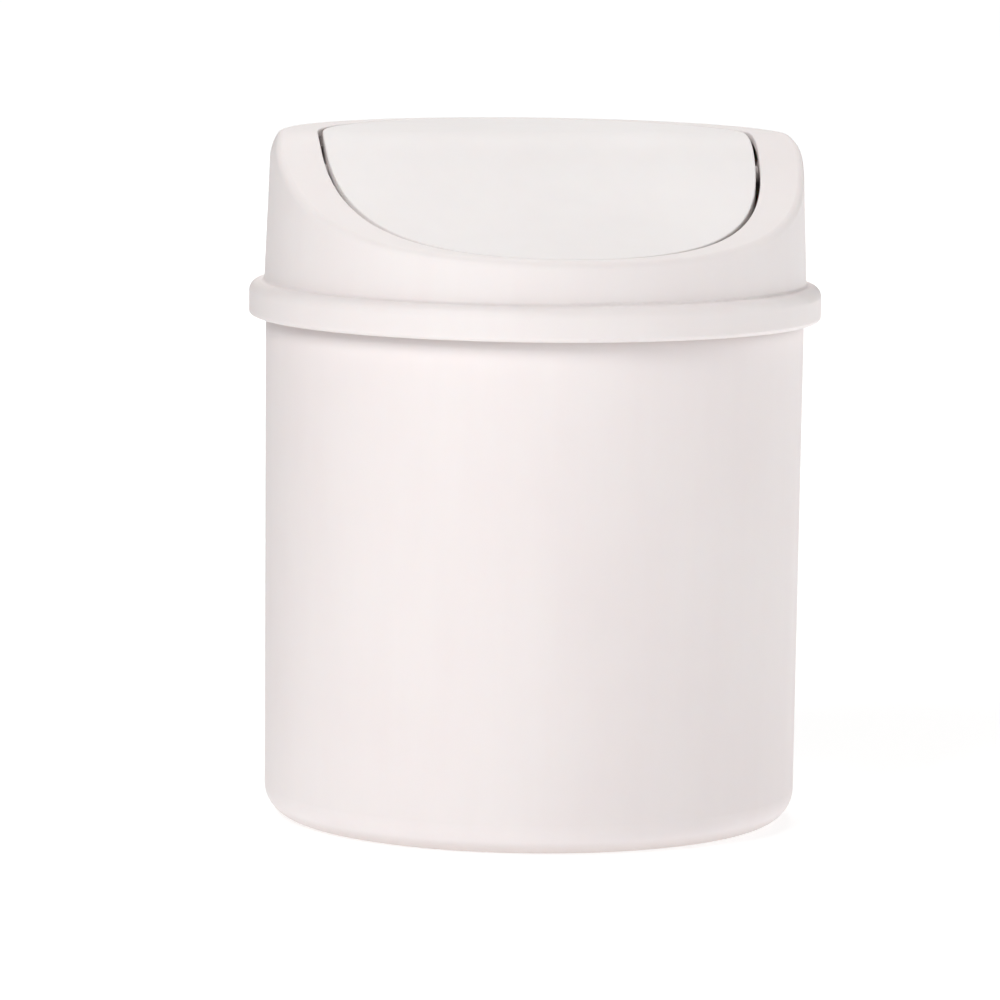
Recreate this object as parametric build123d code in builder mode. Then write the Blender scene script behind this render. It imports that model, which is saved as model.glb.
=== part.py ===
from build123d import *
from math import cos, radians, sin, sqrt, tan
import os

# Countertop bin with a swing lid: a round bucket, a lid frame that drops over its rim, and a
# push flap that turns in the frame on two stub axles.  Millimetres.  Z is up, the origin is
# the centre of the base on the resting plane, and the low side of the lid, where the flap is
# pushed, is -Y.

# ------------------------------------------------------------------ bucket
overall_height = 165.0        # the lid takes its share, the bucket the rest
bucket_base_radius = 63.9     # the wall's outer radius, carried down to the resting plane
bucket_rim_radius = 64.7      # the wall's outer radius at the rim
bucket_wall = 1.8
bucket_floor = 2.0
base_round = 7.5              # where the wall turns into the base
floor_round = 5.5             # the same corner inside
foot_ring_width = 11.7        # from the hollow under the floor out to the wall
foot_ring_height = 1.5
foot_ring_round = 0.6
gate_recess_radius = 6.0      # dimple round the moulding gate, under the floor
gate_recess_depth = 0.7
gate_stub_radius = 1.2
gate_stub_height = 0.4
rim_flange_reach = 1.6        # the rim's outward bead, covered by the collar
rim_flange_height = 3.0
rim_round = 0.7

# ------------------------------------------------------------------ lid frame
collar_clearance = 0.6        # between the collar and the rim's bead
collar_drop = 6.3             # how far the collar hangs below the top of the bucket
collar_top_thickness = 2.0
collar_wall = 1.8
collar_top_round = 2.6
collar_bottom_round = 1.0
skirt_clearance = 0.35        # between the locating skirt and the inside of the bucket
skirt_depth = 7.0
skirt_wall = 1.4
skirt_lead_in = 0.6
lid_rise = 35.7               # collar's top to the plateau
lid_wall_inset = 3.6          # from the collar's face in to the lid's wall, at the collar's top
lid_wall_draft = 2.2          # degrees
lid_wall = 1.8
lid_top_wall = 1.8
crease_round = 0.7            # hollow between the collar and the lid's wall
shoulder_radius = 12.0        # the wall bends inwards just below the top
shoulder_angle = 34.0         # degrees that it bends by, up to the plateau
shoulder_overrun = 12.0       # degrees that it is drawn further, above the plateau
lid_edge_round = 1.8

# The top is one surface: a long hollow scoop in front, a rounded crest, and a level plateau
front_edge_height = 10.0      # where the scoop meets the front wall, above the collar's top
plateau_front = 6.5           # y where the plateau begins
crest_radius = 22.0
crest_angle = 35.5            # degrees, the steepest slope of the top

# ------------------------------------------------------------------ flap, an ellipse in plan
side_margin = 12.3            # from the lid's wall, at the collar's top, in to the opening
front_margin = 3.9
back_margin = 9.9
side_gap = 1.1                # slit at the sides
end_gap = 0.4                 # slit at the front and the back
slit_edge_round = 0.35
flap_wall = 1.8
flap_lip_depth = 4.0          # turned-down lip, measured square to the top
flap_lip_wall = 1.6
rib_wall = 1.4
rib_depth = 1.6
rib_spacing = 26.0
weight_bar_length = 40.0      # closing weight, moulded under the back of the flap
weight_bar_width = 12.0
weight_bar_depth = 5.8
weight_bar_inset = 9.0        # from the flap's back edge
weight_bar_round = 1.4

# ------------------------------------------------------------------ pivot and stop
pivot_y = -6.0
pivot_depth = 4.6             # axle centre below the top, measured square to it
axle_radius = 1.6
axle_clearance = 0.05
axle_engagement = 4.0
axle_lead_in = 0.5
axle_collar_radius = 2.2
side_play = 0.25
bore_end_clearance = 0.4
boss_wall = 1.7
boss_cover = 0.5              # lid wall left over the outer end of a boss
lug_radius = 4.0
lug_wall = 2.4
lug_inset = 0.4               # the lug's flat face, inside the flap's widest point
stop_ring_wall = 1.6
stop_ledge_reach = 2.8
stop_ledge_thickness = 1.5
stop_clearance = 0.3
stop_start_y = 14.0           # the stop runs round the back of the opening from here

# ------------------------------------------------------------------ derived sizes
draft = radians(lid_wall_draft)
steepest = radians(crest_angle)
upward = 0.7                          # a face whose normal has a larger Z looks up
close = 0.01                          # edges are matched to a size within this

collar_top_z = overall_height - lid_rise
bucket_height = collar_top_z - collar_top_thickness
bucket_lean = (bucket_rim_radius - bucket_base_radius) / bucket_height
flange_bottom_z = bucket_height - rim_flange_height
flange_bottom_radius = bucket_rim_radius - bucket_lean * rim_flange_height
flange_radius = bucket_rim_radius + rim_flange_reach
bucket_mouth_radius = bucket_rim_radius - bucket_wall
foot_ring_radius = bucket_base_radius - foot_ring_width
floor_top_z = foot_ring_height + bucket_floor
floor_edge_radius = bucket_base_radius + bucket_lean * floor_top_z - bucket_wall

collar_bottom_z = bucket_height - collar_drop
collar_inner_radius = flange_radius + collar_clearance
collar_radius = collar_inner_radius + collar_wall
skirt_radius = bucket_mouth_radius - skirt_clearance
skirt_inner_radius = skirt_radius - skirt_wall
skirt_bottom_z = bucket_height - skirt_depth
lid_wall_radius = collar_radius - lid_wall_inset
outside = 2 * collar_radius           # beyond the whole lid in plan

# Shoulder: it has bent by its full angle where the plateau cuts it
shoulder_rise = shoulder_radius * (sin(radians(shoulder_angle) + draft) - sin(draft))
shoulder_z = overall_height - shoulder_rise
shoulder_start_radius = lid_wall_radius - (shoulder_z - collar_top_z) * tan(draft)

# Scoop: the arc that leaves the crest smoothly and passes through the front edge
front_edge_z = collar_top_z + front_edge_height
crest_end_y = plateau_front - crest_radius * sin(steepest)
crest_end_z = overall_height - crest_radius * (1 - cos(steepest))
front_edge_y = -lid_wall_radius + front_edge_height * tan(draft)
scoop_run = front_edge_y - crest_end_y
scoop_fall = front_edge_z - crest_end_z
scoop_radius = (scoop_run**2 + scoop_fall**2) / (
    2 * (cos(steepest) * scoop_fall - sin(steepest) * scoop_run)
)

# Pivot: pivot_depth square below the scoop, at pivot_y
scoop_span = scoop_radius + pivot_depth
pivot_sine = (pivot_y - crest_end_y + scoop_radius * sin(steepest)) / scoop_span
pivot_cosine = sqrt(1 - pivot_sine**2)
pivot_z = crest_end_z + scoop_radius * cos(steepest) - scoop_span * pivot_cosine

opening_half_width = lid_wall_radius - side_margin
opening_half_length = lid_wall_radius - (front_margin + back_margin) / 2
flap_half_width = opening_half_width - side_gap
flap_half_length = opening_half_length - end_gap
flap_centre_y = (front_margin - back_margin) / 2
opening_floor_z = (collar_top_z + front_edge_z) / 2
bore_radius = axle_radius + axle_clearance
bore_depth = axle_engagement + bore_end_clearance
boss_radius = bore_radius + boss_wall
boss_offset = (pivot_y - flap_centre_y) / opening_half_length
boss_face_x = opening_half_width * sqrt(1 - boss_offset**2)
pivot_wall_radius = lid_wall_radius - (pivot_z - collar_top_z) * tan(draft)
boss_end_x = sqrt(pivot_wall_radius**2 - (abs(pivot_y) + boss_radius) ** 2) - boss_cover
lug_face_x = flap_half_width - lug_inset
axle_tip_x = boss_face_x + axle_engagement
stop_ledge_z = overall_height - flap_lip_depth - stop_clearance
stop_bottom_z = stop_ledge_z - stop_ledge_thickness
weight_bar_y = flap_centre_y + flap_half_length - weight_bar_inset - weight_bar_width / 2
weight_bar_bottom_z = overall_height - flap_wall - weight_bar_depth


def corner(sketch, radius, height):
    """The corner of a section nearest to a radius and a height."""
    return sketch.vertices().sort_by_distance((radius, height))[0]


def below_top(depth):
    """The space under the lid's top surface, sunk square to it by depth."""
    level = overall_height - depth
    with BuildPart() as space:
        with BuildSketch(Plane.YZ):
            with BuildLine():
                plateau = Line((outside, level), (plateau_front, level))
                crest = JernArc(plateau @ 1, plateau % 1, crest_radius - depth, crest_angle)
                scoop = JernArc(crest @ 1, crest % 1, scoop_radius + depth, -crest_angle)
                Polyline(
                    scoop @ 1,
                    (-outside, (scoop @ 1).Y),
                    (-outside, 0),
                    (outside, 0),
                    (outside, level),
                )
            make_face()
        extrude(amount=outside, both=True)
    return space.part


def lid_dome(inset, depth):
    """The lid's upper body, with its wall moved in by inset and its top sunk by depth."""
    foot = (lid_wall_radius - inset / cos(draft), collar_top_z)
    bend_start = (shoulder_start_radius - inset / cos(draft), shoulder_z)
    space = below_top(depth)
    with BuildPart() as dome:
        with BuildSketch(Plane.XZ):
            with BuildLine():
                wall = Line(foot, bend_start)
                bend = JernArc(
                    wall @ 1, wall % 1, shoulder_radius - inset, shoulder_angle + shoulder_overrun
                )
                Polyline(bend @ 1, (0, (bend @ 1).Y), (0, collar_top_z), foot)
            make_face()
        revolve(axis=Axis.Z)
        add(space, mode=Mode.INTERSECT)
    return dome.part


def plan_prism(half_width, half_length, depth):
    """An upright elliptical prism on the flap's centre, up to the top sunk by depth."""
    space = below_top(depth)
    with BuildPart() as prism:
        with BuildSketch(Plane.XY.offset(opening_floor_z)):
            with Locations((0, flap_centre_y)):
                Ellipse(half_width, half_length)
        extrude(amount=overall_height)
        add(space, mode=Mode.INTERSECT)
    return prism.part


def flap_rib(centre_x, centre_y, length_x, length_y):
    """A rib under the flap, from inside its skin down to a foot that follows the top."""
    blank = plan_prism(
        flap_half_width - flap_lip_wall / 2, flap_half_length - flap_lip_wall / 2, flap_wall / 2
    )
    below_foot = below_top(flap_wall + rib_depth)
    with BuildPart() as rib:
        with BuildSketch(Plane.XY.offset(opening_floor_z)):
            with Locations((centre_x, centre_y)):
                Rectangle(length_x, length_y)
        extrude(amount=overall_height)
        add(blank, mode=Mode.INTERSECT)
        add(below_foot, mode=Mode.SUBTRACT)
    return rib.part


def upper_rim(part, half_width, half_length):
    """The edges where an upright elliptical wall meets the top surface."""
    rim = []
    for edge in part.faces().filter_by(lambda face: face.normal_at().Z > upward).edges():
        middle = edge @ 0.5
        spread = (middle.X / half_width) ** 2 + ((middle.Y - flap_centre_y) / half_length) ** 2
        if abs(spread - 1) < close:
            rim.append(edge)
    return rim


# ------------------------------------------------------------------ bucket
with BuildPart() as bucket:
    with BuildSketch(Plane.XZ) as section:
        with BuildLine():
            Polyline(
                (0, foot_ring_height),
                (foot_ring_radius, foot_ring_height),
                (foot_ring_radius, 0),
                (bucket_base_radius, 0),
                (flange_bottom_radius, flange_bottom_z),
                (flange_radius, flange_bottom_z),
                (flange_radius, bucket_height),
                (bucket_mouth_radius, bucket_height),
                (floor_edge_radius, floor_top_z),
                (0, floor_top_z),
                close=True,
            )
        make_face()
        fillet(corner(section, bucket_base_radius, 0), base_round)
        fillet(corner(section, floor_edge_radius, floor_top_z), floor_round)
        fillet(corner(section, foot_ring_radius, 0), foot_ring_round)
        fillet(section.vertices().group_by(Axis.Y)[-1], rim_round)
    revolve(axis=Axis.Z)
    # Dimple under the floor with the stub of the moulding gate in it
    with BuildSketch(Plane.XY.offset(foot_ring_height)):
        Circle(gate_recess_radius)
    extrude(amount=gate_recess_depth, mode=Mode.SUBTRACT)
    with BuildSketch(Plane.XY.offset(foot_ring_height + gate_recess_depth)):
        Circle(gate_stub_radius)
    extrude(amount=-gate_stub_height)

# ------------------------------------------------------------------ lid frame
dome = lid_dome(0, 0)
hollow = lid_dome(lid_wall, lid_top_wall)
opening = plan_prism(opening_half_width, opening_half_length, -lid_top_wall)
with BuildPart() as lid_frame:
    add(dome)
    top_faces = lid_frame.faces().filter_by(lambda face: face.normal_at().Z > upward)
    brow_edges = [
        edge
        for edge in top_faces.edges()
        if sum(edge in face.edges() for face in top_faces) == 1
    ]
    fillet(brow_edges, lid_edge_round)
    add(hollow, mode=Mode.SUBTRACT)
    add(opening, mode=Mode.SUBTRACT)
    fillet(upper_rim(lid_frame, opening_half_width, opening_half_length), slit_edge_round)
    # Collar, the ledge that sits on the bucket's rim, and the skirt inside the bucket
    with BuildSketch(Plane.XZ) as section:
        with BuildLine():
            Polyline(
                (skirt_inner_radius, collar_top_z),
                (skirt_inner_radius, skirt_bottom_z),
                (skirt_radius, skirt_bottom_z),
                (skirt_radius, bucket_height),
                (collar_inner_radius, bucket_height),
                (collar_inner_radius, collar_bottom_z),
                (collar_radius, collar_bottom_z),
                (collar_radius, collar_top_z),
                close=True,
            )
        make_face()
        fillet(corner(section, collar_radius, collar_top_z), collar_top_round)
        fillet(corner(section, collar_radius, collar_bottom_z), collar_bottom_round)
        chamfer(corner(section, skirt_radius, skirt_bottom_z), skirt_lead_in)
    revolve(axis=Axis.Z)
    crease = [
        edge
        for edge in lid_frame.edges().filter_by(GeomType.CIRCLE)
        if abs(edge.radius - lid_wall_radius) < close
    ]
    fillet(crease, crease_round)
    # Stop: a wall hanging from the top round the back, with a ledge at its foot
    for reach, high_z in ((0, overall_height - lid_top_wall), (stop_ledge_reach, stop_ledge_z)):
        with BuildSketch(Plane.XY.offset(stop_bottom_z)):
            with Locations((0, flap_centre_y)):
                Ellipse(opening_half_width + stop_ring_wall, opening_half_length + stop_ring_wall)
                Ellipse(
                    opening_half_width - reach, opening_half_length - reach, mode=Mode.SUBTRACT
                )
            with Locations((0, stop_start_y)):
                Rectangle(
                    outside, outside, align=(Align.CENTER, Align.MIN), mode=Mode.INTERSECT
                )
        extrude(amount=high_z - stop_bottom_z)
    # Bosses from the slit out to the wall, each with a blind bore
    for side in (-1, 1):
        with BuildSketch(Plane.YZ.offset(side * boss_face_x)):
            with Locations((pivot_y, pivot_z)):
                Circle(boss_radius)
        extrude(amount=side * (boss_end_x - boss_face_x))
        with BuildSketch(Plane.YZ.offset(side * boss_face_x)):
            with Locations((pivot_y, pivot_z)):
                Circle(bore_radius)
        extrude(amount=side * bore_depth, mode=Mode.SUBTRACT)

# ------------------------------------------------------------------ swing flap
slab = plan_prism(flap_half_width, flap_half_length, 0)
underside = plan_prism(
    flap_half_width - flap_lip_wall, flap_half_length - flap_lip_wall, flap_wall
)
below_lip = below_top(flap_lip_depth)
ribs = [
    flap_rib(-rib_spacing / 2, flap_centre_y, rib_wall, 2 * flap_half_length),
    flap_rib(rib_spacing / 2, flap_centre_y, rib_wall, 2 * flap_half_length),
    flap_rib(0, pivot_y, 2 * flap_half_width, rib_wall),
]
with BuildPart() as swing_flap:
    add(slab)
    fillet(upper_rim(swing_flap, flap_half_width, flap_half_length), slit_edge_round)
    add(underside, mode=Mode.SUBTRACT)
    add(below_lip, mode=Mode.SUBTRACT)
    add(ribs)
    # Closing weight
    with BuildSketch(Plane.XY.offset(weight_bar_bottom_z)):
        with Locations((0, weight_bar_y)):
            RectangleRounded(weight_bar_length, weight_bar_width, weight_bar_round)
    extrude(amount=weight_bar_depth + flap_wall / 2)
    # Lugs, axle collars and stub axles
    for side in (-1, 1):
        for start_x, end_x, radius in (
            (lug_face_x - lug_wall, lug_face_x, lug_radius),
            (lug_face_x, boss_face_x - side_play, axle_collar_radius),
            (lug_face_x, axle_tip_x, axle_radius),
        ):
            with BuildSketch(Plane.YZ.offset(side * start_x)):
                with Locations((pivot_y, pivot_z)):
                    Circle(radius)
            extrude(amount=side * (end_x - start_x))
    ends = swing_flap.edges().filter_by(GeomType.CIRCLE).group_by(Axis.X)
    chamfer(ends[0] + ends[-1], axle_lead_in)

# ------------------------------------------------------------------ write the pieces
os.makedirs("parts", exist_ok=True)
bucket.part.label = "bucket"
lid_frame.part.label = "lid_frame"
swing_flap.part.label = "swing_flap"
export_step(bucket.part, "parts/bucket.step")
export_step(lid_frame.part, "parts/lid_frame.step")
export_step(swing_flap.part, "parts/swing_flap.step")
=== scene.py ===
from math import cos, radians, sin

import bpy
from mathutils import Matrix, Vector

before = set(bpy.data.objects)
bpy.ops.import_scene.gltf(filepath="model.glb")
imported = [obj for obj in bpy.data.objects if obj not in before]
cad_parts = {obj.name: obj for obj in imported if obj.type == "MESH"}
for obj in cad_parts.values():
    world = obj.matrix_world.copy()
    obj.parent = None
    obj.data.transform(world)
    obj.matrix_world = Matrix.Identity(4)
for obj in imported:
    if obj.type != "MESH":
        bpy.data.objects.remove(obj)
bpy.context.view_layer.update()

# A countertop bin of off-white satin plastic on a pale studio floor.  Metres.  The bucket, the
# lid frame and the swing flap are the CAD nodes, and this script gives them their plastic.

# ------------------------------------------------------------------ camera
aim_height = 0.0825            # the point of the bin's axis that the camera is turned to
camera_distance = 1.6
camera_elevation = 0.1148      # radians
camera_azimuth = radians(8.9)  # the camera stands this far to the left of the bin's front
camera_roll = 0.0133           # radians, the picture's content leans clockwise
pixels_per_metre = 4150.0      # at the aim point
image_side = 1000.0            # pixels
aim_column = 532.84            # pixel where the aim point shows
aim_row = 475.0
sensor_side = 36.0             # millimetres
view_reach = 100.0


def add_camera():
    """The camera at the photograph's viewing angle."""
    towards_front = Vector((-sin(camera_azimuth), -cos(camera_azimuth), 0))
    side = Vector((cos(camera_azimuth), -sin(camera_azimuth), 0))
    back = towards_front * cos(camera_elevation) + Vector((0, 0, sin(camera_elevation)))
    level_up = back.cross(side)
    right = side * cos(camera_roll) + level_up * sin(camera_roll)
    up = back.cross(right)
    data = bpy.data.cameras.new("camera")
    data.sensor_width = sensor_side
    data.lens = pixels_per_metre * camera_distance * sensor_side / image_side
    data.shift_x = (image_side / 2 - aim_column) / image_side
    data.shift_y = (aim_row - image_side / 2) / image_side
    data.clip_end = view_reach
    camera = bpy.data.objects.new("camera", data)
    turn = Matrix((right, up, back)).transposed().to_4x4()
    place = Vector((0, 0, aim_height)) + back * camera_distance
    camera.matrix_world = Matrix.Translation(place) @ turn
    bpy.context.scene.collection.objects.link(camera)
    bpy.context.scene.camera = camera


# ------------------------------------------------------------------ nodes of a material
def socket_of(sockets, name):
    """The socket with that name, or with that identifier where names repeat."""
    return next(socket for socket in sockets if name in (socket.identifier, socket.name))


def linked(tree, kind, *settings, **inputs):
    """A node of a kind, with its settings and each named input linked or set to a value.

    Two underscores in an input's name stand for a space.
    """
    node = tree.nodes.new(kind)
    for setting, value in settings:
        setattr(node, setting, value)
    for name, value in inputs.items():
        socket = socket_of(node.inputs, name.replace("__", " "))
        if isinstance(value, bpy.types.NodeSocket):
            tree.links.new(value, socket)
        else:
            socket.default_value = value
    return node


def mapped(tree, value, low, high, to_low, to_high, *settings):
    """A value between low and high brought to between to_low and to_high."""
    limits = {"From__Min": low, "From__Max": high, "To__Min": to_low, "To__Max": to_high}
    node = linked(tree, "ShaderNodeMapRange", *settings, Value=value, **limits)
    return node.outputs["Result"]


def noise(tree, place, scale, detail):
    """Noise with that many lumps to the metre."""
    node = linked(tree, "ShaderNodeTexNoise", Vector=place, Scale=scale, Detail=detail)
    return node.outputs["Fac"]


def combined(tree, operation, first, second):
    """Two values added or multiplied."""
    kind = ("operation", operation)
    node = linked(tree, "ShaderNodeMath", kind, Value=first, Value_001=second)
    return node.outputs["Value"]


def distance_from(tree, place, point):
    """How far a place is from a fixed point."""
    kind = ("operation", "DISTANCE")
    node = linked(tree, "ShaderNodeVectorMath", kind, Vector=place, Vector_001=point)
    return node.outputs["Value"]


def mixed(tree, factor, first, second):
    """One colour turned into another by a factor."""
    kind = ("data_type", "RGBA")
    node = linked(tree, "ShaderNodeMix", kind, Factor_Float=factor, A_Color=first, B_Color=second)
    return socket_of(node.outputs, "Result_Color")


# ------------------------------------------------------------------ moulded plastic
noise_low = 0.35            # most of a noise's values lie between these
noise_high = 0.65
cloud_scale = 24.0          # lumps to the metre: broad unevenness of the pigment
cloud_detail = 3.0          # octaves of finer lumps
cloud_share = 0.7           # its part in the drift of the pigment, the streaks have the rest
flow_scale = 160.0          # streaks of the melt, drawn out along Z
flow_detail = 2.0
flow_stretch = 0.12
gloss_drift = 0.035         # either side of the roughness
ripple_scale = 95.0         # shrinkage ripple in the surface
ripple_detail = 1.0
ripple_height = 0.00004
grain_scale = 3200.0        # fine grain of the mould
grain_detail = 2.0
grain_height = 0.000009
bump_strength = 1.0         # the lumps have their full height
crease_open = 0.85          # where a surface sees this share of its surroundings, the painted crease shade ends
crease_samples = 12
# colour of the painted shade in creases, seams and under the lid's collar
crease_shade_colour = (0.36, 0.27, 0.21, 1)
shade_thin_below = 0.02          # metres up: the painted shade is thinnest up to here
shade_full_above = 0.09          # and it has its full depth from here up
shade_thin_share = 0.38          # of its depth that is left where it is thinnest
refraction = 1.49
reflection = 0.35
scatter_share = 0.12        # light that goes a little way into the plastic and comes out
scatter_reach = 0.0015
scatter_tint = (1.0, 0.7, 0.55)  # of that way, how far red, green and blue get


def pigment(tree, place, cloud, pale, deep):
    """The plastic's colour drifts between pale and deep in clouds and streaks."""
    stretch = (1, 1, flow_stretch)
    drawn_out = linked(tree, "ShaderNodeMapping", Vector=place, Scale=stretch).outputs["Vector"]
    flow = noise(tree, drawn_out, flow_scale, flow_detail)
    broad = mapped(tree, cloud, noise_low, noise_high, 0.0, cloud_share)
    streaky = mapped(tree, flow, noise_low, noise_high, 0.0, 1 - cloud_share)
    return mixed(tree, combined(tree, "ADD", broad, streaky), (*pale, 1), (*deep, 1))


def shaded_in_creases(tree, body, colour, reach, depth):
    """The colour darkened by painted shade out to a reach from each crease and under overhangs,
    less near the base.
    """
    count = ("samples", crease_samples)
    # painted shade: darker where the surface sees little of its surroundings, thinner towards the
    # base
    seen = linked(tree, "ShaderNodeAmbientOcclusion", count, Distance=reach).outputs["AO"]
    height = linked(tree, "ShaderNodeSeparateXYZ", Vector=body).outputs["Z"]
    left = mapped(tree, height, shade_thin_below, shade_full_above, shade_thin_share, 1.0)
    shade_amount = mapped(tree, seen, 0.0, crease_open, depth, 0.0)
    painted_shade = combined(tree, "MULTIPLY", shade_amount, left)
    return mixed(tree, painted_shade, colour, crease_shade_colour)


def raised(tree, lumps, height, **below):
    """The direction of a surface with lumps of a height, on the surface below if one is told."""
    bump = linked(
        tree, "ShaderNodeBump", Height=lumps, Distance=height, Strength=bump_strength, **below
    )
    return bump.outputs["Normal"]


def moulded_skin(tree, place):
    """Shrinkage ripple with the mould's fine grain on it."""
    ripple = noise(tree, place, ripple_scale, ripple_detail)
    grain = noise(tree, place, grain_scale, grain_detail)
    wave = raised(tree, ripple, ripple_height)
    return raised(tree, grain, grain_height, Normal=wave)


def moulded_plastic(name, pale, deep, roughness, offset, shade_reach, shade_depth):
    """The CAD node's own material becomes satin off-white plastic.

    The offset takes each piece to another part of the noise, and the last two arguments set the
    reach and depth of its painted crease shade.
    """
    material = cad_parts[name].data.materials[0]
    material.use_nodes = True
    tree = material.node_tree
    tree.nodes.clear()
    body = tree.nodes.new("ShaderNodeTexCoord").outputs["Object"]
    place = linked(tree, "ShaderNodeMapping", Vector=body, Location=offset).outputs["Vector"]
    cloud = noise(tree, place, cloud_scale, cloud_detail)
    unshaded = pigment(tree, place, cloud, pale, deep)
    glossy = roughness - gloss_drift
    dull = roughness + gloss_drift
    surface = linked(
        tree,
        "ShaderNodeBsdfPrincipled",
        Base__Color=shaded_in_creases(tree, body, unshaded, shade_reach, shade_depth),
        Roughness=mapped(tree, cloud, noise_low, noise_high, glossy, dull),
        IOR=refraction,
        Specular__IOR__Level=reflection,
        Subsurface__Weight=scatter_share,
        Subsurface__Radius=scatter_tint,
        Subsurface__Scale=scatter_reach,
        Normal=moulded_skin(tree, place),
    )
    linked(tree, "ShaderNodeOutputMaterial", Surface=surface.outputs["BSDF"])


# ------------------------------------------------------------------ studio
floor_radius = 14.0
floor_corners = 96
floor_grey = (0.5, 0.5, 0.5, 1)
floor_roughness = 0.9
floor_reflection = 0.1
bin_place = (0.0, 0.0, 0.0)
floor_glow = (1, 1, 1, 1)    # the floor's own light
glow_near = 0.65             # its strength beside the bin and further off
glow_far = 1.0
glow_near_reach = 0.12       # metres from the bin's axis
glow_far_reach = 1.6
pool_place = (-1.6, 0.05, 0.0)   # middle of a less bright pool on the floor, at the bin's left
pool_share = 0.4             # of the floor's own light that is left in the pool
pool_inner_reach = 1.30
pool_outer_reach = 1.45
lamp_colour = (1.0, 0.99, 0.975)
room_light = (0.05, 0.05, 0.05, 1)


def add_floor():
    """A pale round floor, bright like the table of a light tent."""
    bpy.ops.mesh.primitive_circle_add(
        vertices=floor_corners, radius=floor_radius, fill_type="NGON"
    )
    floor = bpy.context.object
    floor.name = "floor"
    material = bpy.data.materials.new("floor")
    material.use_nodes = True
    tree = material.node_tree
    tree.nodes.clear()
    place = tree.nodes.new("ShaderNodeTexCoord").outputs["Object"]
    from_bin = distance_from(tree, place, bin_place)
    glow = mapped(tree, from_bin, glow_near_reach, glow_far_reach, glow_near, glow_far)
    from_pool = distance_from(tree, place, pool_place)
    soft = ("interpolation_type", "SMOOTHSTEP")
    pool = mapped(tree, from_pool, pool_inner_reach, pool_outer_reach, pool_share, 1.0, soft)
    surface = linked(
        tree,
        "ShaderNodeBsdfPrincipled",
        Base__Color=floor_grey,
        Roughness=floor_roughness,
        Specular__IOR__Level=floor_reflection,
        Emission__Color=floor_glow,
        Emission__Strength=combined(tree, "MULTIPLY", glow, pool),
    )
    linked(tree, "ShaderNodeOutputMaterial", Surface=surface.outputs["BSDF"])
    floor.data.materials.append(material)


def add_softbox(name, azimuth, elevation, distance, width, height, power):
    """A softbox that looks at the bin, with its power in watts.

    Azimuth and elevation are in degrees, and azimuth is counted from the camera, to its right.
    """
    angle = radians(azimuth) - camera_azimuth
    rise = radians(elevation)
    way = Vector((sin(angle) * cos(rise), -cos(angle) * cos(rise), sin(rise)))
    data = bpy.data.lights.new(name, "AREA")
    data.shape = "RECTANGLE"
    data.size = width
    data.size_y = height
    data.energy = power
    data.color = lamp_colour
    light = bpy.data.objects.new(name, data)
    light.location = Vector((0, 0, aim_height)) + way * distance
    light.rotation_euler = way.to_track_quat("Z", "Y").to_euler()
    bpy.context.scene.collection.objects.link(light)


def set_world():
    """A dim studio room, with colours shown as they are."""
    world = bpy.data.worlds.new("studio")
    bpy.context.scene.world = world
    world.use_nodes = True
    world.node_tree.nodes["Background"].inputs["Color"].default_value = room_light
    bpy.context.scene.view_settings.view_transform = "Standard"


moulded_plastic(
    "bucket",
    pale=(0.92, 0.864, 0.862),
    deep=(0.90, 0.834, 0.834),
    roughness=0.565,
    offset=(0, 0, 0),
    # painted crease shade, deepest here where it stands for the shadow under the lid's collar
    shade_reach=0.004,
    shade_depth=1.0,
)
moulded_plastic(
    "lid_frame",
    pale=(0.918, 0.87, 0.868),
    deep=(0.898, 0.842, 0.84),
    roughness=0.545,
    offset=(3, 1, 2),
    shade_reach=0.0022,
    shade_depth=0.12,
)
moulded_plastic(
    "swing_flap",
    pale=(0.92, 0.89, 0.89),
    deep=(0.90, 0.865, 0.866),
    roughness=0.545,
    offset=(7, 4, 5),
    shade_reach=0.0022,
    shade_depth=0.2,
)
add_camera()
add_floor()
add_softbox("key", azimuth=-33, elevation=37, distance=1.8, width=0.8, height=0.8, power=17.5)
add_softbox("front", azimuth=8, elevation=28, distance=1.8, width=0.8, height=1.0, power=2.8)
add_softbox("fill", azimuth=106, elevation=20, distance=1.8, width=0.9, height=0.9, power=9.9)
add_softbox("top", azimuth=180, elevation=66, distance=1.8, width=0.9, height=1.5, power=14.2)
add_softbox("rear", azimuth=184, elevation=22, distance=2.2, width=1.0, height=1.1, power=4.2)
set_world()
